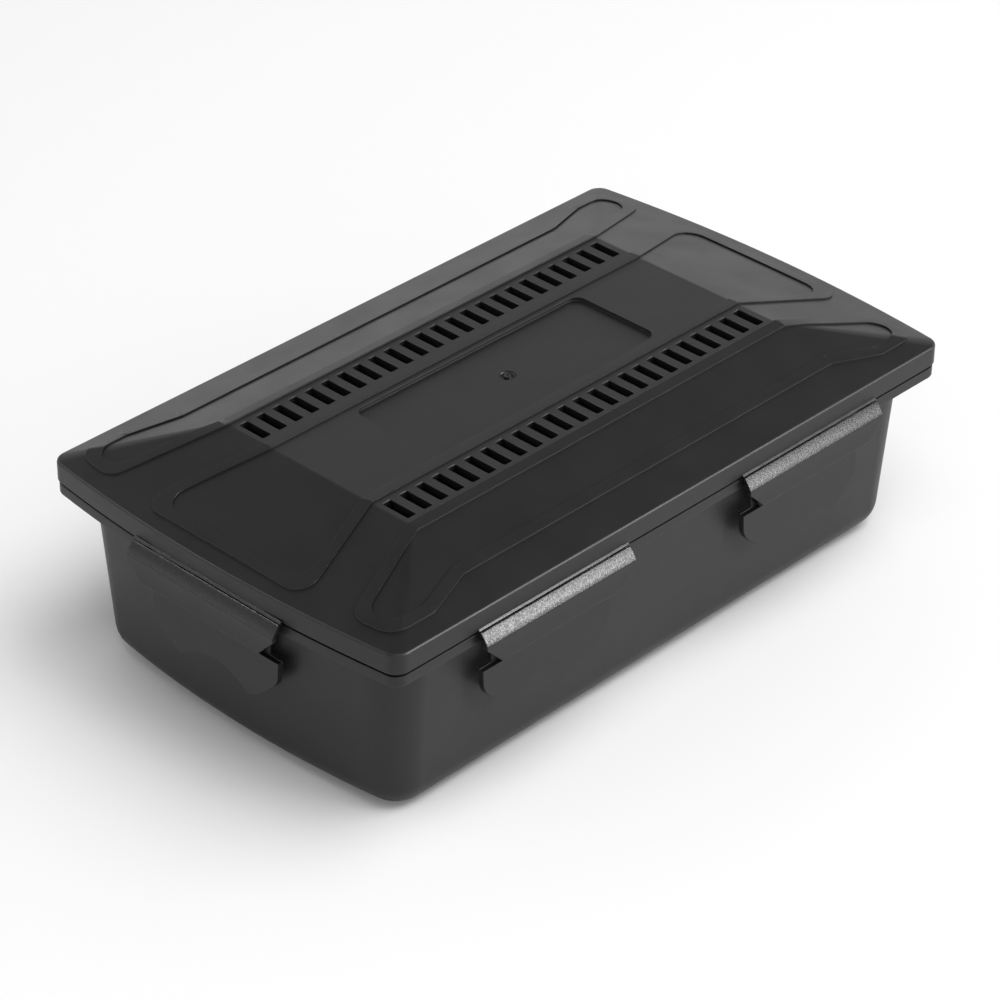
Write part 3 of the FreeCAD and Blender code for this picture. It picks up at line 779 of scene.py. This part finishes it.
@dataclass(frozen=True)
class Lid:
    """The vented cover: skirt, hipped top, raised beads, slots, sunken label field and rib."""

    half_length: float = 100.0
    half_width: float = 58.8
    corner: float = 4.0
    bow: float = 3.9
    wall: float = 2.0
    skirt_foot: float = 48.4
    skirt_crown: float = 53.8
    rim_radius: float = 0.8
    rim_steps: int = 5
    eave_ceiling: float = 52.2
    flat_top: float = 61.6
    flat_half_length: float = 64.5
    flat_half_width: float = 31.5
    flat_corner: float = 0.4
    crease: float = 0.5           # run of the rounding between the flat top and the slopes
    crease_sag: float = 0.25      # share of its drop that the rounding has at its middle
    foot_edge: float = 0.25
    end_flat: float = 99.65
    end_flat_half_width: float = 25.0
    end_flat_crown: float = 53.0
    # raised beads
    bead_half_width: float = 1.5
    bead_rise: float = 0.44
    bead_edge: float = 0.12
    bead_root: float = 0.7
    bead_corner: float = 3.4
    bead_bend: float = 2.5        # radius where a bead crosses on to the flat top
    jog_bend: float = 3.0
    bead_corner_steps: int = 5
    bead_run_steps: int = 4
    middle_half_width: float = 16.8
    middle_flare: float = 26.3
    middle_reach: float = 94.0
    side_upper: float = 31.9
    side_flare: float = 41.9
    side_reach: float = 91.8
    side_lower: float = 47.4
    side_foot: float = 52.1
    side_foot_reach: float = 90.6
    jog_start: float = 65.2
    jog_finish: float = 79.3
    # vent slots
    slot_count: int = 24
    slot_pitch: float = 5.333
    slot_width: float = 2.7
    slot_long: float = 8.4
    slot_row: float = 24.4
    slot_flare: float = 0.16
    slot_corner: float = 0.35
    slot_mouth_corner: float = 0.6
    # label field and the mark that the moulding gate leaves
    label_half_length: float = 39.2
    label_half_width: float = 13.7
    label_corner: float = 3.0
    label_depth: float = 1.0
    label_edge: float = 0.2
    label_flare: float = 0.12
    gate_radius: float = 2.2
    gate_lift: float = 0.1        # height of the groove's centre line over the field's floor
    nub_radius: float = 0.8
    nub_height: float = 0.9
    nub_sink: float = 0.3
    nub_aside: tuple[float, float] = (-0.4, -0.2)
    nub_chamfer: float = 0.3
    nub_tear: tuple[float, float, float] = (0.15, 0.1, -0.2)
    # locating rib
    rib_half_length: float = 93.1
    rib_half_width: float = 51.6
    rib_corner: float = 9.2
    rib_wall: float = 1.4
    rib_foot: float = 44.8
    rib_crown: float = 54.4
    rib_edge: float = 0.3

    @property
    def plan(self) -> Plan:
        """Outline of the skirt."""
        return Plan(self.half_length, self.half_width, self.corner, self.bow)

    @property
    def flat(self) -> Plan:
        """Outline of the level middle."""
        return Plan(self.flat_half_length, self.flat_half_width, self.flat_corner, 0.0)

    @property
    def pitch(self) -> float:
        """Rise of the long slopes for each unit of their run."""
        return (self.flat_top - self.skirt_crown) / (self.half_width - self.flat_half_width)

    def rim_x(self, share: float) -> float:
        """Where the bowed end's rim is, at a share of the half width."""
        radius = (self.half_width**2 + self.bow**2) / (2.0 * self.bow)
        return self.half_length - radius + math.sqrt(radius**2 - (share * self.half_width) ** 2)

    def surface(self, x: float, y: float) -> float:
        """Height of the lid's outer face over a place.

        Args:
            x: Place along the box.
            y: Place across the box.

        Returns:
            The height of the slopes and the flat top there, without the beads.
        """
        narrowing = self.half_width - self.flat_half_width
        side_share = (self.half_width - abs(y)) / narrowing
        end_share = 0.5
        for _ in range(4):  # each round brings the share nearer, as the rim is bowed
            across = min(abs(y) / (self.half_width - narrowing * min(end_share, 1.0)), 1.0)
            rim = self.rim_x(across)
            end_share = (rim - abs(x)) / (rim - self.flat_half_length)
        share = min(side_share, end_share, 1.0)
        return self.skirt_crown + (self.flat_top - self.skirt_crown) * share

    def shell_rings(self) -> list[Ring]:
        """Rings from the level top out over the slopes and the skirt, and back under the roof.

        Returns:
            The rings, in that order.
        """
        drop = self.crease * self.pitch
        rings = [
            self.flat.grown(-self.crease).ring(self.flat_top),
            self.flat.ring(self.flat_top - self.crease_sag * drop),
            self.flat.grown(self.crease).ring(self.flat_top - drop),
        ]
        slope = math.atan(self.pitch)
        radius = self.rim_radius
        foot = self.skirt_crown - radius * math.tan((math.pi / 2 - slope) / 2)
        for step in range(self.rim_steps + 1):
            angle = (math.pi / 2 - slope) * (1.0 - step / self.rim_steps)
            inset = radius * (1.0 - math.cos(angle))
            rings.append(self.plan.grown(-inset).ring(foot + radius * math.sin(angle)))
        inner = self.plan.grown(-self.wall)
        rings += [
            self.plan.ring(self.skirt_foot + self.foot_edge),
            self.plan.grown(-MID_ROUND * self.foot_edge).ring(self.skirt_foot + MID_ROUND * self.foot_edge),
            self.plan.grown(-self.foot_edge).ring(self.skirt_foot),
            inner.ring(self.skirt_foot),
            inner.ring(self.eave_ceiling),
            self.flat.ring(self.flat_top - self.wall),
        ]
        return rings

    def rib(self) -> bpy.types.Object:
        """The ring under the lid that drops inside the tub's mouth.

        Returns:
            The rib, whose crown is sunk in the roof.
        """
        outer = Plan(self.rib_half_length, self.rib_half_width, self.rib_corner, self.bow)
        inner = outer.grown(-self.rib_wall)
        edge = self.rib_edge
        return draw_shell("rib", [
            outer.grown(-edge).ring(self.rib_foot),
            outer.ring(self.rib_foot + edge),
            outer.ring(self.rib_crown),
            inner.ring(self.rib_crown),
            inner.ring(self.rib_foot + edge),
            inner.grown(edge).ring(self.rib_foot),
        ], endless=True)

    def middle_corners(self) -> list[tuple[float, float, float]]:
        """Corners of the long middle panel.

        Returns:
            Each corner's x, y and radius, anticlockwise.
        """
        quarter = [
            (self.middle_reach, self.middle_flare, self.bead_corner),
            (self.flat_half_length, self.middle_half_width, self.bead_bend),
        ]
        back = quarter + [(-x, y, r) for x, y, r in reversed(quarter)]
        return back + [(-x, -y, r) for x, y, r in back]

    def side_corners(self) -> list[tuple[float, float, float]]:
        """Corners of the panel on the back slope.

        Returns:
            Each corner's x, y and radius, anticlockwise.
        """
        right = [
            (self.jog_start, self.side_lower, self.jog_bend),
            (self.jog_finish, self.side_foot, self.jog_bend),
            (self.side_foot_reach, self.side_foot, self.bead_corner),
            (self.side_reach, self.side_flare, self.bead_corner),
            (self.flat_half_length, self.side_upper, self.bead_bend),
        ]
        left = [(-x, y, r) for x, y, r in reversed(right)]
        return list(reversed(right + left))

    def bead(self, name: str, corners: Sequence[tuple[float, float, float]]) -> bpy.types.Object:
        """A low flat-topped band that follows a panel's outline over the lid.

        Args:
            name: Name of the new piece.
            corners: The panel's corners, anticlockwise, with their radii.

        Returns:
            The bead, with its root sunk in the lid.
        """
        half, rise, edge = self.bead_half_width, self.bead_rise, self.bead_edge
        section = [
            (half, -self.bead_root),
            (half, rise - edge),
            (half - MID_ROUND * edge, rise - MID_ROUND * edge),
            (half - edge, rise),
        ]
        profile = section + [(-grow, lift) for grow, lift in reversed(section)]
        rings = []
        for grow, lift in profile:
            loop = spread(rounded_loop(corners, grow, self.bead_corner_steps), self.bead_run_steps)
            rings.append([place(x, y, self.surface(x, y) + lift) for x, y in loop])
        return draw_shell(name, rings, endless=True)

    def slots(self) -> bpy.types.Object:
        """Cutters for both rows of vent slots, each with a flared mouth.

        Returns:
            All the cutters as one piece.
        """
        start = -(self.slot_count - 1) / 2 * self.slot_pitch
        steps = {"side_steps": 1, "corner_steps": 3, "end_steps": 1}
        half_width, half_long, flare = self.slot_width / 2, self.slot_long / 2, 2 * self.slot_flare
        throat = Plan(half_width, half_long, self.slot_corner, 0.0, **steps)
        mouth = Plan(half_width + flare, half_long + flare, self.slot_mouth_corner, 0.0, **steps)
        low = self.flat_top - self.wall - OVERSHOOT
        rim = self.flat_top - self.slot_flare
        cutter = draw_shell("slot", [throat.ring(low), throat.ring(rim), mouth.ring(rim + flare)])
        copies = []
        for side in (1, -1):
            for number in range(self.slot_count):
                spot = place(start + number * self.slot_pitch, side * self.slot_row, 0.0)
                copies.append(copied(cutter, f"slot_{side}_{number}", Matrix.Translation(spot)))
        bpy.data.objects.remove(cutter)
        return joined(copies)

    def field(self) -> bpy.types.Object:
        """Cutter for the sunken label field.

        Returns:
            The cutter, with a soft bottom edge and a flared rim.
        """
        plan = Plan(self.label_half_length, self.label_half_width, self.label_corner, 0.0)
        floor, edge = self.flat_top - self.label_depth, self.label_edge
        return draw_shell("field", [
            plan.grown(-edge).ring(floor),
            plan.grown(-MID_ROUND * edge).ring(floor + MID_ROUND * edge),
            plan.ring(floor + edge),
            plan.ring(self.flat_top - self.label_flare / 2),
            plan.grown(self.label_flare).ring(self.flat_top + self.label_flare / 2),
        ])

    def gate_mark(self) -> tuple[bpy.types.Object, bpy.types.Object]:
        """The mark that the moulding gate leaves.

        Returns:
            Cutter for the groove round the gate, and the broken-off nub that stands in it.
        """
        floor = self.flat_top - self.label_depth
        put_down()
        groove = (self.gate_radius - self.nub_radius) / 2
        bpy.ops.mesh.primitive_torus_add(
            major_radius=(self.gate_radius - groove) * MM, minor_radius=groove * MM,
            major_segments=40, minor_segments=16, location=place(0.0, 0.0, floor + self.gate_lift))
        dimple = bpy.context.object
        bpy.ops.object.transform_apply(location=True, rotation=True, scale=True)
        bpy.ops.mesh.primitive_cylinder_add(
            vertices=11, radius=self.nub_radius * MM, depth=self.nub_height * MM,
            location=place(*self.nub_aside, floor - self.nub_sink))
        nub = bpy.context.object
        nub.name = "nub"
        bpy.ops.object.transform_apply(location=True, rotation=True, scale=True)
        open_mesh(nub, "FACE")
        choose_faces(nub, lambda middle, normal: normal.z > 0.9)
        bpy.ops.mesh.inset(thickness=self.nub_chamfer * MM)
        bpy.ops.transform.translate(value=place(*self.nub_tear))
        put_down()
        return dimple, nub

    def end_flats(self) -> bpy.types.Object:
        """Blocks that flatten the skirt's bowed ends behind the end latches.

        Returns:
            Both blocks as one piece.
        """
        blocks = []
        for side in (1, -1):
            near, far = side * self.end_flat, side * (self.half_length + 2 * OVERSHOOT)
            low = place(min(near, far), -self.end_flat_half_width, self.skirt_foot - OVERSHOOT)
            high = place(max(near, far), self.end_flat_half_width, self.end_flat_crown)
            blocks.append(draw_block(f"end_flat_{side}", low, high))
        return joined(blocks)

    def build(self, finish: bpy.types.Material) -> None:
        """Model the lid and hand it over.

        Args:
            finish: The lid's material.
        """
        lid = draw_shell("lid_shell", self.shell_rings())
        work(lid, self.end_flats(), Fit.CUT)
        work(lid, self.rib(), Fit.JOIN)
        back = self.side_corners()
        front = [(-x, -y, r) for x, y, r in back]
        for name, corners in (("middle", self.middle_corners()), ("back", back), ("front", front)):
            work(lid, self.bead(name + "_bead", corners), Fit.JOIN)
        work(lid, self.slots(), Fit.CUT)
        work(lid, self.field(), Fit.CUT)
        dimple, nub = self.gate_mark()
        work(lid, dimple, Fit.CUT)
        work(lid, nub, Fit.JOIN)
        smooth(lid)
        hand_over(lid, finish, "lid", "lid")


def spread(loop: Outline, steps: int) -> Outline:
    """Divide each run of a closed loop into equal steps.

    Args:
        loop: Points of the closed loop.
        steps: Steps on each run.

    Returns:
        The points, with the first ones among them.
    """
    points: Outline = []
    for (x0, y0), (x1, y1) in zip(loop, loop[1:] + loop[:1]):
        points += [(x0 + (x1 - x0) * step / steps, y0 + (y1 - y0) * step / steps) for step in range(steps)]
    return points


# ---------------------------------------------------------------- latches and hinge strips


def hinge_joints() -> list[dict]:
    """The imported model's hinge joints, one for each latch."""
    return [joint for joint in frame["joints"] if joint["type"] == "hinge"]


def latch_places() -> list[tuple[Vector, Vector]]:
    """Hinge middle and hinge axis of each latch."""
    return [(Vector(joint["pos_m"]), Vector(joint["axis"])) for joint in hinge_joints()]


def stand(position: Vector, axis: Vector) -> Matrix:
    """The move that puts a latch modelled facing -Y at the origin on its hinge."""
    return Matrix.Translation(position) @ Matrix.Rotation(math.atan2(-axis.y, -axis.x), 4, "Z")


def corner_edges(across: float, height: float) -> Callable[[Vector, Vector], bool]:
    """A test for the edges that go through a plate at a corner of its outline, on either side.

    Args:
        across: Distance of the corner from the middle.
        height: Height of the corner.

    Returns:
        The test, which takes the places of an edge's two ends.
    """
    def at_corner(end: Vector) -> bool:
        """Whether a place is at the corner."""
        return abs(abs(end.x) - across * MM) < NEAR and abs(end.z - height * MM) < NEAR

    return lambda first, second: at_corner(first) and at_corner(second)


@dataclass(frozen=True)
class Latch:
    """A snap latch: a rolled grip over an inner flap that ends in two lobes.

    It is modelled with its hinge axis along X through the origin, hanging down and facing -Y.
    """

    width: float = 50.0
    wall: float = 1.3
    root: tuple[float, float] = (0.1, -0.8)     # y and z of the grip's outline, from the hinge down
    brow: tuple[float, float] = (-0.5, -0.3)
    roll: tuple[float, float] = (-2.8, -3.6)
    crease: tuple[float, float] = (-2.9, -9.2)
    roll_bow: float = -0.2
    cheek_bow: float = 0.15
    roll_steps: int = 10
    cheek_steps: int = 6
    inner_steps: int = 5
    taper_start: float = -4.4
    crease_half_width: float = 21.5
    shelf: float = -14.4          # height at which the slope under the crease meets the flap
    shelf_thickness: float = 1.8
    flap_inset: float = 2.1
    flap_wall: float = 1.7
    hook_wall: float = 0.5        # the plate above the flap, inside the grip
    hook_half_width: float = 17.5
    hook_gap: float = 0.4         # height of its cut-back ends over the shelf
    flap_half_width: float = 21.4
    flap_crown: float = -4.6
    flap_flare: float = 0.8
    shoulder: float = -19.7
    shoulder_radius: float = 1.6
    foot: float = -27.6
    tip: float = 11.6
    tip_radius: float = 1.2
    lobe_bow: float = 0.7
    lobe_steps: int = 7
    arch_rise: float = 4.5
    arch_steps: int = 16
    edge: float = 0.26
    edge_angle: float = 38.0
    crease_angle: float = 40.0

    def grip(self) -> bpy.types.Object:
        """The rolled grip, swept along the hinge.

        Returns:
            The grip, its ends tapered in below the roll.
        """
        inside = (self.roll[0] + self.wall, self.roll[1])
        steepness = (self.crease[1] - self.shelf) / (self.flap_inset - self.crease[0])
        inner_height = self.crease[1] - self.wall * steepness + self.shelf_thickness
        inner_crease = (self.crease[0] + self.wall, inner_height)
        sink = self.flap_wall - self.hook_wall / 2
        seat, sunk = self.flap_inset + sink, self.shelf - steepness * sink
        outline = (
            bowed_run(self.root, self.brow, 0.0, 1)
            + bowed_run(self.brow, self.roll, self.roll_bow, self.roll_steps)
            + bowed_run(self.roll, self.crease, self.cheek_bow, self.cheek_steps)
            + [self.crease, (seat, sunk), (seat, sunk + self.shelf_thickness)]
            + bowed_run(inner_crease, inside, -self.cheek_bow, self.inner_steps)
            + [inside]
        )
        half = self.width / 2
        grip = draw_prism("grip", outline, lambda y, z: place(-half, y, z), place(self.width, 0.0, 0.0))
        drop = self.taper_start - self.crease[1]
        for side in (1, -1):
            open_mesh(grip, "FACE")
            bpy.ops.mesh.select_all(action="SELECT")
            bpy.ops.mesh.bisect(
                plane_co=place(side * half, 0.0, self.taper_start),
                plane_no=(side * drop, 0.0, -(half - self.crease_half_width)),
                use_fill=True, clear_outer=True)
            put_down()
        return grip

    def flap(self) -> bpy.types.Object:
        """The inner flap: a lobed plate that flares outwards below the shelf.

        Returns:
            The flap, with the thin hook plate above it.
        """
        half, tip, foot, shoulder = self.flap_half_width, self.tip, self.foot, self.shoulder
        outline = (
            [(-half, self.flap_crown)]
            + bowed_run((-half, shoulder), (-tip, foot), -self.lobe_bow, self.lobe_steps)
            + bowed_run((-tip, foot), (tip, foot), self.arch_rise, self.arch_steps)
            + bowed_run((tip, foot), (half, shoulder), -self.lobe_bow, self.lobe_steps)
            + [(half, shoulder), (half, self.flap_crown)]
        )
        inner = self.flap_inset
        flap = draw_prism("flap", outline, lambda x, z: place(x, inner, z), place(0.0, self.flap_wall, 0.0))
        front, back = inner - OVERSHOOT, inner + self.flap_wall + OVERSHOOT
        side, face = half + OVERSHOOT, inner + self.flap_wall - self.hook_wall
        cuts = [draw_block("hollow", place(-side, front, self.shelf), place(side, face, 0.0))]
        for left, right in ((self.hook_half_width, side), (-side, -self.hook_half_width)):
            low = place(left, front, self.shelf + self.hook_gap)
            cuts.append(draw_block("hook_end", low, place(right, back, 0.0)))
        for cut in cuts:
            work(flap, cut, Fit.CUT)
        open_mesh(flap, "EDGE")
        corners = ((tip, foot, self.tip_radius), (half, shoulder, self.shoulder_radius))
        for across, height, radius in corners:
            choose_edges(flap, corner_edges(across, height))
            bpy.ops.mesh.bevel(offset=radius * MM, segments=4)
        bpy.ops.mesh.select_all(action="SELECT")
        bpy.ops.mesh.bisect(plane_co=place(0.0, 0.0, self.shelf), plane_no=(0.0, 0.0, 1.0))
        mesh = bmesh.from_edit_mesh(flap.data)
        reach = (self.shelf - foot) * MM
        for vert in mesh.verts:
            depth = min(max(self.shelf * MM - vert.co.z, 0.0) / reach, 1.0)
            vert.co.y -= self.flap_flare * MM * depth
        bmesh.update_edit_mesh(flap.data)
        put_down()
        return flap

    def model(self) -> bpy.types.Object:
        """The whole latch at the origin.

        Returns:
            The grip and the flap as one piece, with all its edges rounded.
        """
        latch = self.grip()
        work(latch, self.flap(), Fit.JOIN)
        open_mesh(latch, "VERT")
        bpy.ops.mesh.select_all(action="SELECT")
        bpy.ops.mesh.remove_doubles(threshold=NEAR)
        put_down()
        apply_modifier(
            latch, "BEVEL", width=self.edge * MM, segments=2, limit_method="ANGLE",
            angle_limit=math.radians(self.edge_angle), use_clamp_overlap=True)
        smooth(latch, self.crease_angle)
        return latch


@dataclass(frozen=True)
class HingeWeb:
    """The thin strip of plastic that bends when a latch opens, along X through the origin."""

    length: float = 50.0
    depth: float = 0.5
    height: float = 0.7
    lean_back: float = 0.42
    edge: float = 0.06
    crease_angle: float = 50.0

    def model(self) -> bpy.types.Object:
        """The strip at the origin.

        Returns:
            The strip, its outer face leaning back and its long edges rounded.
        """
        half = place(self.length, self.depth, self.height) / 2
        long = self.length * MM / 2
        web = draw_block("web", -half, half)
        open_mesh(web, "EDGE")
        choose_edges(web, lambda a, b: abs(a.x - b.x) > long and a.z > 0.0 and a.y < 0.0)
        bpy.ops.mesh.bevel(offset=self.lean_back * MM, segments=1)
        bpy.ops.mesh.select_all(action="DESELECT")
        choose_edges(web, lambda a, b: abs(a.x - b.x) > long)
        bpy.ops.mesh.bevel(offset=self.edge * MM, segments=3)
        put_down()
        smooth(web, self.crease_angle)
        return web


@dataclass(frozen=True)
class LatchSet:
    """The six latches and their hinge strips, modelled once and set round the lid."""

    latch: Latch
    web: HingeWeb

    def build(self, latch_finish: bpy.types.Material, web_finish: bpy.types.Material) -> None:
        """Copy the patterns to each hinge and hand the copies over.

        Args:
            latch_finish: Material of the latches.
            web_finish: Material of the hinge strips.
        """
        latch, web = self.latch.model(), self.web.model()
        for joint, (position, axis) in zip(hinge_joints(), latch_places()):
            station = joint["child"].removeprefix("latch_")
            move = stand(position, axis)
            flap = copied(latch, f"latch_{station}_flap", move)
            hand_over(flap, latch_finish, joint["child"], joint["child"])
            strip = copied(web, f"hinge_{station}_strip", move)
            hand_over(strip, web_finish, joint["parent"], f"hinge_web_{station}")
        for pattern in (latch, web):
            bpy.data.objects.remove(pattern)


# ---------------------------------------------------------------- studio


def bearing(azimuth: float, elevation: float) -> Vector:
    """Direction from the box out to a light or to the camera.

    Args:
        azimuth: Degrees round from the front, towards the right.
        elevation: Degrees up from the floor.

    Returns:
        A vector of length one.
    """
    turn, lift = math.radians(azimuth), math.radians(elevation)
    return Vector((math.sin(turn) * math.cos(lift), -math.cos(turn) * math.cos(lift), math.sin(lift)))


class Reach(Enum):
    """What a light falls on, told by how it is linked to the floor."""

    ALL = "ALL"
    FLOOR_ONLY = "INCLUDE"
    BOX_ONLY = "EXCLUDE"


@dataclass(frozen=True)
class Softbox:
    """A rectangular area light that faces the box, with its sizes in metres and its power in watts."""

    name: str
    azimuth: float
    elevation: float
    distance: float
    width: float
    height: float
    power: float
    reach: Reach = Reach.ALL

    def build(self) -> None:
        """Hang the light and aim it at the middle of the box."""
        put_down()
        away = bearing(self.azimuth, self.elevation)
        bpy.ops.object.light_add(type="AREA", location=away * self.distance)
        lamp = bpy.context.object
        lamp.name = self.name
        lamp.rotation_euler = away.to_track_quat("Z", "Y").to_euler()
        lamp.data.shape = "RECTANGLE"
        lamp.data.size, lamp.data.size_y = self.width, self.height
        lamp.data.energy = self.power
        if self.reach is not Reach.ALL:
            lit = bpy.data.collections.new(self.name + "_reach")
            lit.objects.link(bpy.data.objects[FLOOR])
            lamp.light_linking.receiver_collection = lit
            lit.collection_objects[0].light_linking.link_state = self.reach.value


@dataclass(frozen=True)
class Studio:
    """A white floor under a soft sky that is bright at the horizon and dim overhead."""

    azimuth: float = -46.268      # of the camera, as its elevation and roll
    elevation: float = 33.197
    roll: float = 0.552
    distance: float = 970.435
    aside: float = -1.369         # how far its aim is off the origin, sideways and upwards
    lift: float = 20.247
    lens: float = 138.10
    film: float = 36.0
    floor_size: float = 12.0      # metres
    floor_gap: float = 0.05       # keeps the floor just clear of the underside
    floor_colour: str = "#f6f6f6"
    floor_roughness: float = 0.9
    sky_strength: float = 1.7
    sky: tuple[tuple[float, str], ...] = (
        (0.0, "#ffffff"), (0.16, "#ffffff"), (0.26, "#b8b8b8"), (0.38, "#bcbcbc"),
        (0.57, "#a8a8a8"), (0.72, "#4c4c4c"), (1.0, "#525252"),
    )
    lights: tuple[Softbox, ...] = (
        Softbox(
            "overhead", azimuth=-20.0, elevation=70.0, distance=1.8,
            width=1.2, height=1.2, power=12.0),
        Softbox(
            "key", azimuth=33.0, elevation=26.0, distance=1.4,
            width=0.26, height=0.8, power=20.0, reach=Reach.BOX_ONLY),
        Softbox(
            "rim", azimuth=-146.0, elevation=46.0, distance=1.4,
            width=0.3, height=0.3, power=3.5, reach=Reach.BOX_ONLY),
        Softbox(
            "wash", azimuth=40.0, elevation=62.0, distance=1.8,
            width=1.4, height=1.4, power=17.0, reach=Reach.FLOOR_ONLY),
    )

    def build(self) -> None:
        """Lay the floor, light it and set the camera."""
        self.lay_floor()
        self.light_sky()
        for light in self.lights:
            light.build()
        self.set_camera()

    def lay_floor(self) -> None:
        """A plain pale floor, level with the box's underside."""
        put_down()
        height = CAD_BOX[0].z - self.floor_gap * MM
        bpy.ops.mesh.primitive_plane_add(size=self.floor_size, location=(0.0, 0.0, height))
        floor = bpy.context.object
        floor.name = FLOOR
        # Matt white studio paper: the eye gets an even, pale ground with soft shadows and no gloss.
        material = bpy.data.materials.new("floor_matt_paper")
        material.use_nodes = True
        shader = material.node_tree.nodes["Principled BSDF"]
        shader.inputs["Base Color"].default_value = linear(self.floor_colour)
        shader.inputs["Roughness"].default_value = self.floor_roughness
        floor.data.materials.append(material)

    def light_sky(self) -> None:
        """A sky whose brightness falls from the horizon up."""
        world = bpy.data.worlds.new("soft_sky")
        bpy.context.scene.world = world
        world.use_nodes = True
        tree = world.node_tree
        where = add_node(tree, "TexCoord", {}).outputs["Generated"]
        height = add_node(tree, "SeparateXYZ", {"Vector": where}).outputs["Z"]
        ramp = add_node(tree, "ValToRGB", {"Fac": height})
        stops = ramp.color_ramp.elements
        for stop, (position, colour) in zip(list(stops), (self.sky[0], self.sky[-1])):
            stop.position, stop.color = position, linear(colour)
        for position, colour in self.sky[1:-1]:
            stops.new(position).color = linear(colour)
        background = tree.nodes["Background"]
        tree.links.new(ramp.outputs["Color"], background.inputs["Color"])
        background.inputs["Strength"].default_value = self.sky_strength

    def set_camera(self) -> None:
        """Look down on the front left corner of the box."""
        turn, roll = math.radians(self.azimuth), math.radians(self.roll)
        back = bearing(self.azimuth, self.elevation)
        level = Vector((math.cos(turn), math.sin(turn), 0.0))
        upright = back.cross(level)
        right = level * math.cos(roll) + upright * math.sin(roll)
        upward = upright * math.cos(roll) - level * math.sin(roll)
        spot = (back * self.distance + right * self.aside + upward * self.lift) * MM
        put_down()
        bpy.ops.object.camera_add(location=spot)
        camera = bpy.context.object
        camera.rotation_euler = Matrix((right, upward, back)).transposed().to_euler()
        camera.data.lens = self.lens
        camera.data.sensor_width = self.film
        bpy.context.scene.camera = camera
        bpy.context.scene.view_settings.view_transform = "Standard"


def main() -> None:
    """Build the box and its studio."""
    logging.basicConfig(level=logging.INFO, format="%(name)s: %(message)s")
    Studio().build()
    Tub().build(TUB_FINISH.build())
    Lid().build(LID_FINISH.build())
    LatchSet(Latch(), HingeWeb()).build(LATCH_FINISH.build(), WEB_FINISH.build())


if __name__ == "__main__":
    main()
